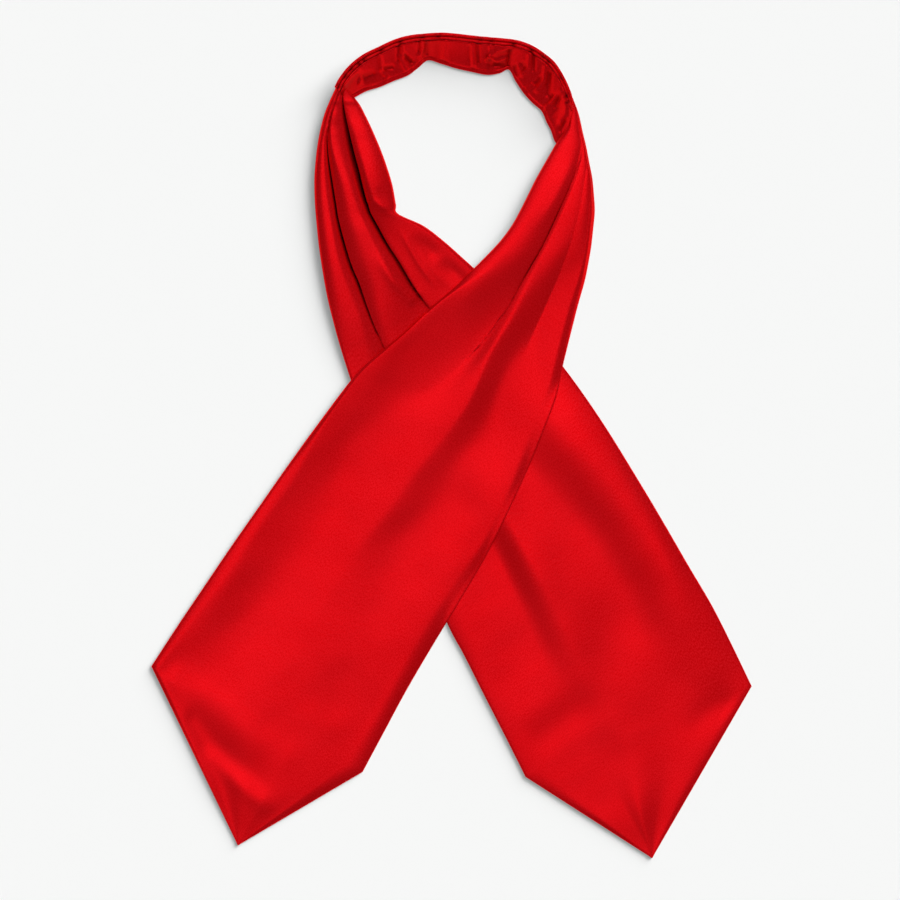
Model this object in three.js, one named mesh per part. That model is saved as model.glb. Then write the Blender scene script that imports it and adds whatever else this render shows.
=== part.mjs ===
import * as THREE from 'three';

// A silk cravat laid flat, neckband at the back (+Y), its two pointed blades crossed in front.
// Millimetres, +Z up. The cloth rests on z = 0, and the origin is under the middle of its outline.
// The blade that leaves the band on the right crosses over to the lower left, the other goes under.

// Cloth and seams.
const CLOTH = 1.2; // one layer of satin with its interlining
const SEAM_GAP = 0.3; // clear space between two pieces that are sewn or lie together
const BLUNT_TIP = 0.6; // half width of a blade's tip, so that no face has zero width

// Neckband: gathered cloth that leans outward from its lower edge on the surface to its rim.
const BAND_RISE = 19; // height of the rim
const BAND_WALL = 1.4; // one layer of the band, measured level
const BAND_LEAN_CURVE = 0.75; // below 1 the face steepens towards the rim
const GATHER_DEPTH = 0.8; // how far a gather stands out of the band's face

// Pleated stretches on both sides of the neck.
const PLEAT_START = 18; // height of the pleats where they leave the band
const PLEAT_END = 4.2; // height of the left pleats where they run out under the crossing
const PLEAT_FADE = 1.2; // how fast the pleats flatten along their length
const TURNED_EDGE_SHARE = 0.12; // height of the turned side's free edge, as a share of the pleat

// Blades: a back layer on the surface and a face layer that puffs up a little over it.
const BLADE_PUFF = 1.5; // rise of the face in the middle of the blade
const EDGE_SHARE = 0.35; // width of the rounded edge zone, as a share of half the blade
const CROSSING_LIFT = 5.4; // how far the over blade is carried by the under blade
const CREST_LIFT = 3.2; // how much more it is carried where it lies on the left pleats
const CREST_REACH = 40; // how far that extra lift reaches in from the over blade's upper edge
const RAMP = 28; // level distance in which the over blade comes down to the surface

// Corners of the crossing: where the outlines of the two blades meet.
const UPPER_NOTCH = [14.6, 116.0];
const LEFT_NOTCH = [-66.0, 42.6];
const RIGHT_NOTCH = [72.5, 52.3];
const LOWER_NOTCH = [-2.9, -115.4];

// Left pleats, a row for each section from the band to the crossing. The columns are the outline,
// the two valleys, the ridge where the inner roll turns down, and the edge of the turned side.
const LEFT_SECTIONS = [
  { outline: [-73.4, 237.2], firstValley: [-73.0, 236.8], secondValley: [-70.9, 234.8], turn: [-69.9, 233.8], inner: [-63.0, 226.9] },
  { outline: [-79.6, 223.9], firstValley: [-78.0, 222.9], secondValley: [-69.2, 222.6], turn: [-66.0, 223.4], inner: [-60.2, 223.2] },
  { outline: [-82.9, 215.5], firstValley: [-80.8, 213.5], secondValley: [-68.3, 211.6], turn: [-62.1, 212.9], inner: [-55.3, 214.2] },
  { outline: [-85.5, 205.7], firstValley: [-82.7, 203.1], secondValley: [-66.0, 201.2], turn: [-58.8, 201.8], inner: [-50.4, 203.8] },
  { outline: [-87.4, 195.3], firstValley: [-81.9, 192.7], secondValley: [-62.7, 190.1], turn: [-55.6, 190.8], inner: [-45.2, 191.4] },
  { outline: [-88.7, 184.3], firstValley: [-80.3, 182.3], secondValley: [-60.1, 179.1], turn: [-52.7, 179.7], inner: [-41.3, 180.4] },
  { outline: [-89.4, 172.6], firstValley: [-77.7, 170.6], secondValley: [-58.2, 167.4], turn: [-50.1, 168.0], inner: [-38.0, 169.3] },
  { outline: [-89.1, 158.9], firstValley: [-75.1, 157.6], secondValley: [-55.6, 157.0], turn: [-47.1, 156.3], inner: [-35.8, 157.0] },
  { outline: [-88.1, 145.9], firstValley: [-72.5, 144.6], secondValley: [-50.4, 149.2], turn: [-35.8, 150.5], inner: [-34.4, 151.1] },
  { outline: [-86.5, 130.3], firstValley: [-68.6, 129.7], secondValley: [-43.2, 137.5], inner: [-17.9, 143.3] },
  { outline: [-84.2, 114.7], firstValley: [-63.7, 113.4], secondValley: [-35.4, 123.2], inner: [-4.2, 132.9] },
  { outline: [-80.9, 96.5], firstValley: [-56.9, 95.2], secondValley: [-27.0, 105.6], inner: [7.5, 122.5] },
  { outline: [-76.4, 78.3], firstValley: [-49.7, 77.0], secondValley: [-17.9, 93.3], inner: [14.6, 116.0] },
  { outline: [-71.2, 60.1], firstValley: [-42.6, 62.1], secondValley: [-10.7, 83.5], inner: [21.8, 108.2] },
  { outline: [-61.4, 30.2], firstValley: [-33.5, 51.7], secondValley: [-2.9, 75.1], inner: [29.6, 100.4] },
];
const TURNED_ROWS = 9; // the sections that have a turned side

// Right pleats, from the band to where they open into the over blade.
const RIGHT_SECTIONS = [
  { inner: [77.0, 226.6], valley: [78.0, 226.3], outline: [79.0, 226.0] },
  { inner: [76.1, 217.4], valley: [81.4, 216.8], outline: [82.7, 216.1] },
  { inner: [73.8, 206.4], valley: [83.7, 204.6], outline: [85.5, 203.8] },
  { inner: [67.9, 197.3], valley: [84.6, 194.9], outline: [87.8, 194.2] },
  { inner: [60.8, 184.9], valley: [83.2, 184.9], outline: [89.7, 184.3] },
  { inner: [54.9, 174.5], valley: [79.6, 175.0], outline: [91.7, 173.9] },
  { inner: [49.7, 164.1], valley: [75.1, 164.1], outline: [92.7, 163.5] },
  { inner: [44.5, 153.7], valley: [70.5, 154.2], outline: [93.3, 153.1] },
  { inner: [38.7, 143.3], valley: [65.7, 143.3], outline: [92.3, 141.4] },
  { inner: [30.9, 132.9], valley: [59.5, 131.2], outline: [90.9, 129.0] },
  { inner: [21.1, 122.5], valley: [53.6, 121.2], outline: [89.1, 118.6] },
  { inner: [14.6, 116.0], valley: [48.4, 111.8], outline: [87.0, 108.2] },
  { inner: [6.8, 108.2], valley: [43.2, 102.3], outline: [84.5, 99.1] },
  { inner: [-1.6, 100.4], valley: [37.4, 92.9], outline: [81.6, 88.7] },
  { inner: [-10.1, 93.3], valley: [30.9, 83.9], outline: [79.0, 78.3] },
  { inner: [-20.5, 84.2], valley: [23.1, 76.9], outline: [76.4, 67.9] },
];

// Blades, a row for each section from the pleats down to the shoulders of the point.
const OVER_BLADE = {
  sections: [
    { left: [-20.7, 83.6], right: [76.2, 67.3] },
    { left: [-30.9, 74.4], right: [72.8, 53.3] },
    { left: [-43.2, 64.0], right: [67.9, 31.5] },
    { left: [-55.6, 53.6], right: [59.5, 9.4] },
    { left: [-66.0, 42.6], right: [49.1, -15.9] },
    { left: [-88.1, 13.3], right: [34.1, -48.4] },
    { left: [-106.9, -12.7], right: [21.1, -73.8] },
    { left: [-125.1, -38.7], right: [5.9, -99.8] },
    { left: [-143.3, -64.7], right: [-11.4, -128.4] },
    { left: [-160.9, -90.7], right: [-28.9, -158.3] },
    { left: [-178.4, -116.7], right: [-43.2, -184.9] },
    { left: [-195.3, -142.7], right: [-57.5, -211.6] },
  ],
  tip: [-138.8, -259.0],
};
const UNDER_BLADE = {
  sections: [
    { left: [-61.0, 29.2], right: [30.4, 99.6] },
    { left: [-51.7, 4.2], right: [51.0, 76.4] },
    { left: [-38.7, -29.6], right: [72.5, 52.3] },
    { left: [-21.8, -71.2], right: [97.8, 16.6] },
    { left: [-2.9, -115.4], right: [123.2, -24.4] },
    { left: [8.1, -136.2], right: [139.4, -51.7] },
    { left: [20.5, -160.9], right: [154.4, -77.7] },
    { left: [32.8, -184.9], right: [169.3, -103.0] },
    { left: [40.4, -200.0], right: [182.0, -128.0] },
    { left: [47.8, -214.8], right: [195.3, -155.7] },
  ],
  tip: [130.3, -267.3],
};

// Soft folds of the faces: a path in plan, the rise (negative for a trough) and the half width.
const OVER_FOLDS = [
  { path: [[55, 94], [41, 56], [7, 6], [-14, -24], [-49, -58]], rise: -1.1, reach: 13 },
  { path: [[28, 75], [-14, 41], [-63, 29]], rise: -0.9, reach: 11 },
  { path: [[24, 64], [0, 41], [-14, 26], [-60, -30]], rise: 1.0, reach: 11 },
  { path: [[68, 88], [49, 56], [22, 0], [-5, -60]], rise: 0.9, reach: 11 },
  { path: [[-184, -153], [-155, -180], [-107, -212]], rise: -1.0, reach: 9 },
  { path: [[-167, -189], [-119, -230]], rise: 1.0, reach: 8 },
];
const UNDER_FOLDS = [
  { path: [[75, 8], [98, -34], [122, -65]], rise: -1.0, reach: 14 },
  { path: [[42, -51], [63, -86]], rise: -0.9, reach: 12 },
  { path: [[60, -20], [84, -70], [102, -130]], rise: 0.8, reach: 16 },
  { path: [[56, -181], [76, -169]], rise: -0.8, reach: 11 },
  { path: [[179, -168], [157, -204]], rise: -0.8, reach: 10 },
];

// Neckband, a row for each section from the left end to the right: the outline at the rim and
// the lower edge inside the loop.
const BAND_SECTIONS = [
  { rim: [-72.2, 238.7], foot: [-61.7, 227.9] },
  { rim: [-66.0, 246.4], foot: [-54.9, 231.4] },
  { rim: [-57.5, 253.2], foot: [-46.5, 234.0] },
  { rim: [-47.1, 258.4], foot: [-37.4, 237.9] },
  { rim: [-36.1, 263.4], foot: [-28.3, 241.5] },
  { rim: [-26.3, 265.9], foot: [-21.8, 246.4] },
  { rim: [-17.2, 266.9], foot: [-15.3, 251.2] },
  { rim: [-6.8, 267.5], foot: [-6.8, 249.0] },
  { rim: [3.6, 266.8], foot: [2.9, 246.0] },
  { rim: [14.0, 265.6], foot: [12.7, 243.8] },
  { rim: [24.4, 264.6], foot: [23.1, 241.8] },
  { rim: [33.5, 263.8], foot: [30.9, 242.8] },
  { rim: [42.6, 262.6], foot: [37.4, 245.1] },
  { rim: [51.7, 259.4], foot: [41.9, 237.6] },
  { rim: [59.5, 254.5], foot: [47.1, 229.8] },
  { rim: [66.0, 249.1], foot: [53.0, 223.3] },
  { rim: [70.5, 242.8], foot: [58.8, 218.1] },
  { rim: [74.2, 235.9], foot: [62.1, 210.9] },
  { rim: [76.2, 231.2], foot: [65.0, 205.2] },
  { rim: [76.9, 228.4], foot: [67.4, 199.2] },
];

// How finely each piece is divided: steps between two sections, and strips across.
const PLEAT_DIVISIONS = { along: 2, across: 5 };
const BLADE_DIVISIONS = { along: 1, across: 12, point: 6 };
const BAND_DIVISIONS = { along: 2, up: 4 };

const clamp01 = (value) => Math.min(1, Math.max(0, value));
const smooth = (value) => clamp01(value) ** 2 * (3 - 2 * clamp01(value));
const mix = (from, to, share) => from + (to - from) * share;
const mixPoint = (from, to, share) => [mix(from[0], to[0], share), mix(from[1], to[1], share)];
const between = (from, to) => [to[0] - from[0], to[1] - from[1]];
const dot = (a, b) => a[0] * b[0] + a[1] * b[1];
const length = (vector) => Math.hypot(vector[0], vector[1]);

// A smooth line in plan through the points of one table column, cut into equal steps.
function columnLine(points, stepsBetween) {
  const curve = new THREE.CatmullRomCurve3(points.map(([x, y]) => new THREE.Vector3(x, y, 0)));
  const count = (points.length - 1) * stepsBetween;
  return Array.from({ length: count + 1 }, (unused, step) => {
    const point = curve.getPoint(step / count);
    return [point.x, point.y];
  });
}

// Both ends of a row moved towards each other by half the seam gap, where the row is wide enough.
function insetRow(left, right, leftGap, rightGap) {
  const span = length(between(left, right));
  return [mixPoint(left, right, leftGap / span), mixPoint(left, right, 1 - rightGap / span)];
}

// A closed body from two skins on the same rows and columns: the upper one faces up.
function clothBody(upper, lower) {
  const rows = upper.length;
  const columns = upper[0].length;
  const positions = [...upper.flat(2), ...lower.flat(2)];
  const top = (row, column) => row * columns + column;
  const bottom = (row, column) => rows * columns + top(row, column);
  const faces = [];
  const quad = (a, b, c, d) => faces.push(a, b, c, a, c, d);
  for (let row = 0; row < rows - 1; row += 1) {
    for (let column = 0; column < columns - 1; column += 1) {
      quad(top(row, column), top(row + 1, column), top(row + 1, column + 1), top(row, column + 1));
      quad(bottom(row, column), bottom(row, column + 1), bottom(row + 1, column + 1), bottom(row + 1, column));
    }
    quad(top(row, 0), bottom(row, 0), bottom(row + 1, 0), top(row + 1, 0));
    quad(top(row + 1, columns - 1), bottom(row + 1, columns - 1), bottom(row, columns - 1), top(row, columns - 1));
  }
  for (let column = 0; column < columns - 1; column += 1) {
    quad(top(0, column + 1), bottom(0, column + 1), bottom(0, column), top(0, column));
    quad(top(rows - 1, column), bottom(rows - 1, column), bottom(rows - 1, column + 1), top(rows - 1, column + 1));
  }
  const geometry = new THREE.BufferGeometry();
  geometry.setAttribute('position', new THREE.Float32BufferAttribute(positions, 3));
  geometry.setIndex(faces);
  geometry.computeVertexNormals();
  return geometry;
}

// Height that the under blade and the left pleats give to what lies on them at a point in plan.
function crossingLift(point) {
  const upperEdge = between(UPPER_NOTCH, LEFT_NOTCH);
  const rightEdge = between(UPPER_NOTCH, RIGHT_NOTCH);
  const leftEdge = between(LEFT_NOTCH, LOWER_NOTCH);
  const fromUpper = between(UPPER_NOTCH, point);
  const along = clamp01(dot(fromUpper, upperEdge) / length(upperEdge) ** 2);
  const inward = dot(fromUpper, [-upperEdge[1], upperEdge[0]]) / length(upperEdge);
  const pastRight = dot(fromUpper, [-rightEdge[1], rightEdge[0]]) / length(rightEdge);
  const pastLeft = dot(between(LEFT_NOTCH, point), [leftEdge[1], -leftEdge[0]]) / length(leftEdge);
  const crest = CREST_LIFT * smooth(1 - Math.max(0, inward) / CREST_REACH) * 4 * along * (1 - along);
  return (CROSSING_LIFT + crest) * smooth(1 - Math.max(0, pastRight, pastLeft) / RAMP);
}

// Distance from a point to a path in plan, and how far along the path its foot lies, from 0 to 1.
function pathFoot(path, point) {
  const reaches = path.slice(1).map((end, index) => length(between(path[index], end)));
  const total = reaches.reduce((sum, reach) => sum + reach, 0);
  let best = { distance: Infinity, along: 0 };
  let walked = 0;
  reaches.forEach((reach, index) => {
    const step = between(path[index], path[index + 1]);
    const share = clamp01(dot(between(path[index], point), step) / reach ** 2);
    const distance = length(between(mixPoint(path[index], path[index + 1], share), point));
    if (distance < best.distance) {
      best = { distance, along: (walked + share * reach) / total };
    }
    walked += reach;
  });
  return best;
}

// Rise of all soft folds at a point: each one fades to its sides and towards both ends.
function foldRise(folds, point) {
  return folds.reduce((sum, fold) => {
    const { distance, along } = pathFoot(fold.path, point);
    const endFade = Math.sqrt(Math.sin(Math.PI * mix(0.08, 0.92, along)));
    return sum + fold.rise * endFade * Math.exp(-((distance / fold.reach) ** 2));
  }, 0);
}

// Height share across a pleat: full at its ridge, falling on a parabola to both edges.
function pleatShape(across, ridge, leftShare, rightShare) {
  const onLeft = across < ridge;
  const fall = onLeft ? (ridge - across) / ridge : (across - ridge) / (1 - ridge);
  return 1 - (1 - (onLeft ? leftShare : rightShare)) * fall ** 2;
}

// One pleat as a rounded solid: its hidden layers lie together between the two lines in plan.
function pleatBody(leftLine, rightLine, heightAt, floorAt, gaps) {
  const steps = Array.from({ length: PLEAT_DIVISIONS.across + 1 }, (unused, index) => index / PLEAT_DIVISIONS.across);
  const upper = [];
  const lower = [];
  leftLine.forEach((leftPoint, row) => {
    const [left, right] = insetRow(leftPoint, rightLine[row], gaps.left, gaps.right);
    const share = row / (leftLine.length - 1);
    const points = steps.map((across) => mixPoint(left, right, across));
    upper.push(points.map((point, index) => [...point, floorAt(point) + heightAt(share, steps[index])]));
    lower.push(points.map((point) => [...point, floorAt(point)]));
  });
  return clothBody(upper, lower);
}

// Rows of a blade: its sections, then the rows of its point, narrowing to the tip.
function bladeRows(blade) {
  const lines = {
    left: columnLine(blade.sections.map((section) => section.left), BLADE_DIVISIONS.along),
    right: columnLine(blade.sections.map((section) => section.right), BLADE_DIVISIONS.along),
  };
  const rows = lines.left.map((left, index) => ({ left, right: lines.right[index] }));
  const shoulders = rows[rows.length - 1];
  const breadth = between(shoulders.left, shoulders.right);
  const toSide = breadth.map((part) => (part * BLUNT_TIP) / length(breadth));
  for (let step = 1; step <= BLADE_DIVISIONS.point; step += 1) {
    const share = step / BLADE_DIVISIONS.point;
    rows.push({
      left: mixPoint(shoulders.left, [blade.tip[0] - toSide[0], blade.tip[1] - toSide[1]], share),
      right: mixPoint(shoulders.right, [blade.tip[0] + toSide[0], blade.tip[1] + toSide[1]], share),
    });
  }
  return rows;
}

// One layer of a blade, a cloth thick, over the height that the given function states.
function bladeLayer(blade, baseAt) {
  const upper = [];
  const lower = [];
  bladeRows(blade).forEach((row) => {
    const base = [];
    for (let strip = 0; strip <= BLADE_DIVISIONS.across; strip += 1) {
      const across = (1 - Math.cos((Math.PI * strip) / BLADE_DIVISIONS.across)) / 2;
      const point = mixPoint(row.left, row.right, across);
      const fromEdge = Math.min(across, 1 - across) / (EDGE_SHARE / 2);
      base.push([...point, baseAt(point, smooth(fromEdge))]);
    }
    lower.push(base);
    upper.push(base.map(([x, y, z]) => [x, y, z + CLOTH]));
  });
  return clothBody(upper, lower);
}

// The two layers of a blade: the back follows what it lies on, the face puffs up and has the folds.
const backBase = (floorAt) => (point) => floorAt(point);
const faceBase = (floorAt, folds) => (point, inside) => {
  const puff = Math.max(0, BLADE_PUFF + foldRise(folds, point));
  return floorAt(point) + CLOTH + SEAM_GAP + puff * inside;
};

// One layer of the neckband: it leans outward from its foot, and the gathers ripple its face.
function bandLayer(outset, gathered) {
  const rims = columnLine(BAND_SECTIONS.map((section) => section.rim), BAND_DIVISIONS.along);
  const feet = columnLine(BAND_SECTIONS.map((section) => section.foot), BAND_DIVISIONS.along);
  const face = [];
  const back = [];
  rims.forEach((rim, row) => {
    const span = length(between(feet[row], rim));
    const onGather = gathered && row % BAND_DIVISIONS.along === 1;
    const faceRow = [];
    const backRow = [];
    for (let step = 0; step <= BAND_DIVISIONS.up; step += 1) {
      const up = step / BAND_DIVISIONS.up;
      const gather = onGather ? GATHER_DEPTH * Math.sin(Math.PI * up) : 0;
      const lean = (span - 2 * BAND_WALL - SEAM_GAP) * up ** BAND_LEAN_CURVE;
      const faceShare = (lean + outset - gather) / span;
      const backShare = (lean + outset + BAND_WALL) / span;
      faceRow.push([...mixPoint(feet[row], rim, faceShare), up * BAND_RISE]);
      backRow.push([...mixPoint(feet[row], rim, backShare), up * BAND_RISE]);
    }
    face.push(faceRow);
    back.push(backRow);
  });
  return clothBody(face, back);
}

const cravat = new THREE.Group();
const satinRed = new THREE.Color('#b3060f');

// Adds a named piece in its own satin, a shade lighter or darker than the others.
function addPiece(name, geometry, shade) {
  const colour = satinRed.clone().offsetHSL(0, 0, shade);
  const material = new THREE.MeshStandardMaterial({ color: colour, roughness: 0.42, metalness: 0 });
  const piece = new THREE.Mesh(geometry, material);
  piece.name = name;
  cravat.add(piece);
}

const flatFloor = () => 0;
const halfGap = SEAM_GAP / 2;
const leftPleatHeight = (share) => mix(PLEAT_END, PLEAT_START, (1 - share) ** PLEAT_FADE);
const leftColumn = (name, rows = LEFT_SECTIONS) =>
  columnLine(rows.map((section) => section[name]), PLEAT_DIVISIONS.along);

// Left side: three pleats that lie side by side, and the turned side of the inner roll.
function addLeftPleats() {
  const outline = leftColumn('outline');
  const firstValley = leftColumn('firstValley');
  const secondValley = leftColumn('secondValley');
  const turnRows = LEFT_SECTIONS.map((section) => ({ ridge: section.turn ?? section.inner }));
  const ridge = leftColumn('ridge', turnRows);
  const inner = leftColumn('inner', LEFT_SECTIONS.slice(0, TURNED_ROWS));
  const turnedEnd = (TURNED_ROWS - 1) / (LEFT_SECTIONS.length - 1);
  const turnedShare = (share) => smooth((turnedEnd - share) / 0.12);
  const outerShape = (share, across) => leftPleatHeight(share) * pleatShape(across, 0.4, 0.35, 0.5);
  const middleShape = (share, across) => leftPleatHeight(share) * pleatShape(across, 0.25, 0.75, 0.45);
  const rollShape = (share, across) => {
    const ridgeAt = mix(0.35, 0.75, turnedShare(share));
    const rightShare = mix(0.3, 0.85, turnedShare(share));
    return leftPleatHeight(share) * pleatShape(across, ridgeAt, 0.7, rightShare);
  };
  const turnedShape = (share, across) =>
    leftPleatHeight(share * turnedEnd) * mix(0.75, TURNED_EDGE_SHARE, across);
  addPiece('left_outer_pleat', pleatBody(outline, firstValley, outerShape, flatFloor, { left: 0, right: halfGap }), 0);
  addPiece('left_middle_pleat', pleatBody(firstValley, secondValley, middleShape, flatFloor, { left: halfGap, right: halfGap }), 0.02);
  addPiece('left_inner_roll', pleatBody(secondValley, ridge, rollShape, flatFloor, { left: halfGap, right: halfGap }), 0.04);
  const turnLine = ridge.slice(0, inner.length);
  addPiece('left_turned_side', pleatBody(turnLine, inner, turnedShape, flatFloor, { left: halfGap, right: 0 }), -0.05);
}

// Right side: two pleats that open into the over blade and climb onto the crossing.
function addRightPleats() {
  const column = (name) => columnLine(RIGHT_SECTIONS.map((section) => section[name]), PLEAT_DIVISIONS.along);
  const height = (share) => mix(CLOTH * 2 + SEAM_GAP + BLADE_PUFF, PLEAT_START, (1 - share) ** PLEAT_FADE);
  const innerShape = (share, across) => height(share) * pleatShape(across, 0.35, 0.35, mix(0.4, 0.9, share));
  const outerShape = (share, across) => height(share) * pleatShape(across, 0.25, 0.8, 0.35);
  addPiece('right_inner_pleat', pleatBody(column('inner'), column('valley'), innerShape, crossingLift, { left: 0, right: halfGap }), 0.01);
  addPiece('right_outer_pleat', pleatBody(column('valley'), column('outline'), outerShape, crossingLift, { left: halfGap, right: 0 }), 0.03);
}

// Blades: the back and the face of each, the under blade flat and the over blade carried by it.
function addBlades() {
  addPiece('under_blade_back', bladeLayer(UNDER_BLADE, backBase(flatFloor)), -0.02);
  addPiece('under_blade_face', bladeLayer(UNDER_BLADE, faceBase(flatFloor, UNDER_FOLDS)), 0);
  addPiece('over_blade_back', bladeLayer(OVER_BLADE, backBase(crossingLift)), -0.02);
  addPiece('over_blade_face', bladeLayer(OVER_BLADE, faceBase(crossingLift, OVER_FOLDS)), 0.02);
}

// Neckband: the gathered cloth inside the loop, and the plain cloth that backs it outside.
function addNeckband() {
  addPiece('neckband_inner', bandLayer(0, true), -0.03);
  addPiece('neckband_outer', bandLayer(BAND_WALL + SEAM_GAP, false), 0.01);
}

addBlades();
addLeftPleats();
addRightPleats();
addNeckband();

export default cravat;
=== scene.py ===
"""A red silk satin cravat laid flat, its two pointed blades crossed below a gathered neckband."""

import logging
import math
from collections.abc import Iterable
from dataclasses import dataclass
from enum import Enum

import bpy
import numpy as np
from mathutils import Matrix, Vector


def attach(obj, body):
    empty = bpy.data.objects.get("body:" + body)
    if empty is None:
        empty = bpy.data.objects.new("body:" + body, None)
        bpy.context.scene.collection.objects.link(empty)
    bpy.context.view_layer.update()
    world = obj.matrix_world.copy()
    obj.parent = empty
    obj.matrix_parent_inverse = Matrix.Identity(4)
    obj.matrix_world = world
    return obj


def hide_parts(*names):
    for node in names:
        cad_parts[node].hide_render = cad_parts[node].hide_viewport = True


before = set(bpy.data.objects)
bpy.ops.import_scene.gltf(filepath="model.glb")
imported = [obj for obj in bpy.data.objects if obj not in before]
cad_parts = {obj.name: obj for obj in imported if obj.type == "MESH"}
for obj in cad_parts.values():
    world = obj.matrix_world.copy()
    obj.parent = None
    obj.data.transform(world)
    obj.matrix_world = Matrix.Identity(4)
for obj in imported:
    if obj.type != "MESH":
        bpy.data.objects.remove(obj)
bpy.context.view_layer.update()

LOG = logging.getLogger("cravat")

MM = 0.001
ROOT = "root"

# The picture shows this width of the table, in mm and in pixels, with the frame's origin here.
PHOTO_WIDTH = 585.0
PIXEL = PHOTO_WIDTH / 900
ORIGIN_PIXEL = np.array([451.5, 446.5])

LINE_STEP = 1.0  # length of a step along a ridge or valley, mm
LINE_EASE = 3  # rows to each side over which a ridge or valley is evened out
HORIZON_STEPS = (1, 2, 3, 4, 6, 8, 11, 15, 20, 27, 36)  # grid steps at which shading cloth is looked for
HORIZON_NEAREST, HORIZON_REACH = 0.3, 14.0  # distances between which cloth gives shade, mm
SMOOTH_BELOW = math.radians(60)  # edges of the mesh that turn less are shaded smooth


class Hold(Enum):
    """How a piece of cloth is held."""

    LAID = "laid"
    FOLDED = "folded"
    GATHERED = "gathered"


def outline(*places: tuple[float, float]) -> np.ndarray:
    """Gathers plan points in mm into an array."""
    return np.array(places, float)


def in_plan(pixels: np.ndarray) -> np.ndarray:
    """Turns places in the picture, in pixels, into places in plan, in mm."""
    return (np.asarray(pixels, float) - ORIGIN_PIXEL) * (PIXEL, -PIXEL)


def raised(plan: np.ndarray, height: np.ndarray) -> np.ndarray:
    """Joins plan points and their heights into points in space."""
    return np.concatenate([plan, height[..., None]], axis=-1)


def smooth(value: np.ndarray | float) -> np.ndarray:
    """Eases a share from 0 to 1, flat at both ends."""
    share = np.clip(value, 0.0, 1.0)
    return share * share * (3.0 - 2.0 * share)


def bell(distance: np.ndarray, reach: float) -> np.ndarray:
    """Gives 1 at no distance, falling smoothly to about a third at the reach."""
    return np.exp(-((distance / reach) ** 2))


def mean_window(reach: int) -> np.ndarray:
    """Gives equal weights for a value and its neighbours up to the reach on both sides."""
    return np.ones(2 * reach + 1) / (2 * reach + 1)


def even_out(values: np.ndarray, reach: int) -> np.ndarray:
    """Averages each row's value with those of its neighbours up to the reach on both sides."""
    return np.convolve(np.pad(values, reach, mode="edge"), mean_window(reach), mode="valid")


def smooth_rows(rows: np.ndarray, path: np.ndarray, spacing: float | np.ndarray) -> np.ndarray:
    """Runs a smooth line through each column of a table.

    Args:
        rows: the table, with any number of columns.
        path: a place in plan for each row, mm, to measure the steps along.
        spacing: wanted length of a step, mm, for all gaps between rows or for each.

    Returns:
        The dense rows, with at least two steps for each gap.
    """
    padded = np.vstack([2 * rows[0] - rows[1], rows, 2 * rows[-1] - rows[-2]])
    steps = np.rint(np.linalg.norm(np.diff(path, axis=0), axis=1) / spacing)
    dense = []
    for index, count in enumerate(np.maximum(steps, 2).astype(int)):
        a, b, c, d = padded[index : index + 4]
        t = (np.arange(count) / count)[:, None]
        curve = 2 * b + (c - a) * t + (2 * a - 5 * b + 4 * c - d) * t**2 + (3 * b - a - 3 * c + d) * t**3
        dense.append(0.5 * curve)
    return np.vstack([*dense, rows[-1:]])


def path_foot(points: np.ndarray, path: np.ndarray) -> tuple[np.ndarray, np.ndarray]:
    """Finds the nearest place on a path in plan for each point.

    Args:
        points: plan points in mm.
        path: the path's corners in mm.

    Returns:
        The distance to the path, and the share of the path's length at the nearest place.
    """
    lengths = np.linalg.norm(np.diff(path, axis=0), axis=1)
    nearest = np.full(points.shape[:-1], np.inf)
    along = np.zeros(points.shape[:-1])
    walked = 0.0
    for start, end, length in zip(path[:-1], path[1:], lengths):
        step = end - start
        share = np.clip(((points - start) @ step) / length**2, 0.0, 1.0)
        distance = np.linalg.norm(points - (start + share[..., None] * step), axis=-1)
        closer = distance < nearest
        nearest = np.where(closer, distance, nearest)
        along = np.where(closer, (walked + share * length) / lengths.sum(), along)
        walked += length
    return nearest, along


@dataclass(frozen=True)
class Fold:
    """A soft ridge, or a trough where the rise is negative.

    The path is in pixels of the picture, and the rise and reach are in mm. The start and end are
    the shares of the path over which the fold comes up and dies out.
    """

    path: tuple[tuple[float, float], ...]
    rise: float
    reach: float
    start: float = 0.0
    end: float = 0.0

    def height(self, points: np.ndarray) -> np.ndarray:
        """Gives the fold's rise at each point.

        Args:
            points: plan points in mm, x and y on the last axis.

        Returns:
            The rise in mm, with the shape of the points less their last axis.
        """
        distance, along = path_foot(points, in_plan(self.path))
        fade_in = smooth(along / self.start) if self.start else 1.0
        fade_out = smooth((1.0 - along) / self.end) if self.end else 1.0
        return self.rise * fade_in * fade_out * bell(distance, self.reach)


def rise_of(folds: Iterable[Fold], points: np.ndarray) -> np.ndarray:
    """Adds up what the folds raise at each plan point, in mm."""
    return sum((fold.height(points) for fold in folds), np.zeros(points.shape[:-1]))


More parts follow.
